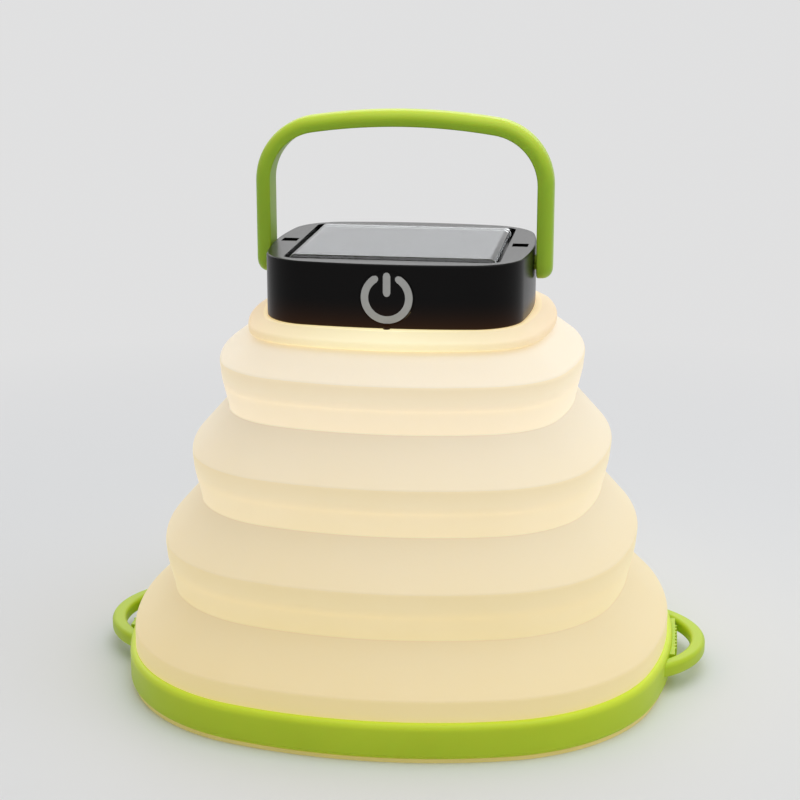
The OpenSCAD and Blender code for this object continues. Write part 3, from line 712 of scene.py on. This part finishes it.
cut_mesh = bpy.data.meshes.new_from_object(housing.evaluated_get(graph))
housing.modifiers.remove(cut)
housing.data = cut_mesh
bpy.data.objects.remove(cutter)

nub_form = bmesh.new()
rod(nub_form, NUB_RADIUS, NUB_HIGH, 32, "Z", (0, -HEAD_FRONT, HEAD_LOW + NUB_HIGH / 2))
make("front_nub", nub_form, black_satin, [], "head")

# Solar panel. Dark cells on a dark blue sheet, and over them a clear moulded cover whose edges roll
# down into the recess of the head.
CELL_COLOURS = ((0.006, 0.007, 0.014, 1.0), (0.012, 0.014, 0.028, 1.0))
CELL_LINE = (0.10, 0.10, 0.11, 1.0)
CELL_PITCH = 8.6
CELL_LINE_HALF = 0.25
COVER_TINT = (0.92, 0.95, 0.97, 1.0)
COVER_OUT = cover_high.x
COVER_DEEP = cover_high.y
COVER_HIGH = cover_high.z
COVER_EDGE = 1.5
COVER_ROUND = 1.5
COVER_WALL = 1.4
COVER_GAP = 0.05
COVER_LOW = RECESS_FLOOR + COVER_GAP
COVER_UNDER = span("solar_cell")[1].z + COVER_GAP

cell_blue, place, feed, grain = material_of("cell_blue", {"Roughness": 0.25})
across = place.part("X")
stripe = across.math("PINGPONG", across, CELL_PITCH / 2 * MM)
line = stripe.math("LESS_THAN", stripe, CELL_LINE_HALF * MM)
feed(Base_Color=line.blend(place.noise(240.0, 4.0).blend(*CELL_COLOURS), CELL_LINE))
grain(1200.0, 0.01)
dress(cell_blue, "solar_cell")

clear_cover, place, feed, grain = material_of("clear_cover", {
    "Base Color": COVER_TINT, "IOR": 1.52, "Transmission Weight": 1.0})
feed(Roughness=0.04 + 0.06 * place.noise(120.0, 4.0))
grain(300.0, 0.002, 0.3)
cover_form = bmesh.new()
soft_box(cover_form, (COVER_OUT, COVER_DEEP), COVER_LOW, COVER_HIGH, COVER_ROUND, COVER_EDGE)
under = min(cover_form.faces, key=lambda face: face.calc_center_median().z)
bmesh.ops.inset_region(cover_form, faces=[under], thickness=COVER_WALL, use_even_offset=True)
bmesh.ops.translate(cover_form, verts=under.verts, vec=(0, 0, COVER_UNDER - RECESS_FLOOR))
make("panel_cover", cover_form, clear_cover, ["solar_cover"], "head")

# Power button. A round black cap in the front of the head, with a printed silver grey sign: an open
# ring with a bar in its gap.
SIGN_COLOURS = ((0.42, 0.42, 0.405, 1.0), (0.50, 0.50, 0.485, 1.0))

black_cap = black_plastic("black_cap")
dress(black_cap, "power_button")

sign_grey, place, feed, grain = material_of("sign_grey", {})
speck = grain(1800.0, 0.01)
feed(Base_Color=place.noise(300.0, 3.0).blend(*SIGN_COLOURS), Roughness=0.35 + 0.15 * speck)
dress(sign_grey, "power_symbol")

# Bail handle. One lime moulding, flat inside and round outside, bent over the head and snapped onto
# it by a short pin at the end of each leg.
bail_high = span("bail_handle")[1]
BAIL_THICK = 4.2
BAIL_IN = bail_high.x - BAIL_THICK
BAIL_HALF = 4.3
BAIL_ROUND = 2.8
BAIL_SOFT = 0.4
BAIL_CORNER_X = 22.1
BAIL_DROP = 142.8
BAIL_ARC = 144.5
BAIL_CORNER_Z = bail_high.z - BAIL_THICK - (BAIL_IN - BAIL_CORNER_X) - BAIL_ARC + BAIL_DROP
BAIL_CROWN_Z = BAIL_CORNER_Z - BAIL_DROP
BAIL_BOW = math.asin(13 / 85)
PIN_RADIUS = 2.0
PIN_TIP = PIN_FROM + 0.3
PIN_ROOT = BAIL_IN + 1
BAIL_STEPS = 18
# Painted shade on the sides and painted light on the top of the bail, as if lit from above.
BAIL_PAINTED_SHADE = ((0.316, 0.52, 0.021, 1.0), (0.374, 0.594, 0.034, 1.0))
BAIL_PAINTED_LIGHT = ((0.67, 0.85, 0.045, 1.0), (0.77, 0.94, 0.07, 1.0))


def points_of(geometry):
    return [item for item in geometry if isinstance(item, bmesh.types.BMVert)]


def edges_of(geometry):
    return [item for item in geometry if isinstance(item, bmesh.types.BMEdge)]


bail_lime = lime_plastic("bail_lime", None, BAIL_PAINTED_SHADE, BAIL_PAINTED_LIGHT)
bail_form = bmesh.new()
leg = draw(bail_form, [(BAIL_IN + u, v, PIVOT_HIGH) for u, v in rounded([
    (0, 0, 0), (0, -BAIL_HALF, BAIL_SOFT), (BAIL_THICK, -BAIL_HALF, BAIL_ROUND), (BAIL_THICK, 0, 0),
    (BAIL_THICK, BAIL_HALF, BAIL_ROUND), (0, BAIL_HALF, BAIL_SOFT),
])])
foot_right = points_of(leg)
raised = bmesh.ops.extrude_edge_only(bail_form, edges=edges_of(leg))["geom"]
bmesh.ops.translate(bail_form, verts=points_of(raised), vec=(0, 0, BAIL_CORNER_Z - PIVOT_HIGH))
ring = [item for item in raised if not isinstance(item, bmesh.types.BMFace)]
for centre, turn in (
    ((BAIL_CORNER_X, BAIL_CORNER_Z), math.pi / 2 - BAIL_BOW),
    ((0, BAIL_CROWN_Z), 2 * BAIL_BOW),
    ((-BAIL_CORNER_X, BAIL_CORNER_Z), math.pi / 2 - BAIL_BOW),
):
    ring = bmesh.ops.spin(bail_form, geom=ring, cent=(centre[0], 0, centre[1]), axis=(0, -1, 0),
                          angle=turn, steps=BAIL_STEPS)["geom_last"]
lowered = bmesh.ops.extrude_edge_only(bail_form, edges=edges_of(ring))["geom"]
foot_left = points_of(lowered)
bmesh.ops.translate(bail_form, verts=foot_left, vec=(0, 0, PIVOT_HIGH - BAIL_CORNER_Z))
for foot in (foot_right, foot_left):
    half = [v for v in foot if v.co.y < NEAR]
    edges = {e for v in half for e in v.link_edges if e.is_boundary and e.other_vert(v) in half}
    bmesh.ops.spin(bail_form, geom=half + list(edges), cent=(0, 0, PIVOT_HIGH), axis=(1, 0, 0),
                   angle=math.pi, steps=BAIL_STEPS)
for side in (-1, 1):
    pin_at = (side * (PIN_ROOT + PIN_TIP) / 2, 0, PIVOT_HIGH)
    rod(bail_form, PIN_RADIUS, PIN_ROOT - PIN_TIP, 48, "Y", pin_at)
bmesh.ops.remove_doubles(bail_form, verts=bail_form.verts, dist=MERGE_DISTANCE)
make("bail", bail_form, bail_lime, ["bail_handle"], "bail")
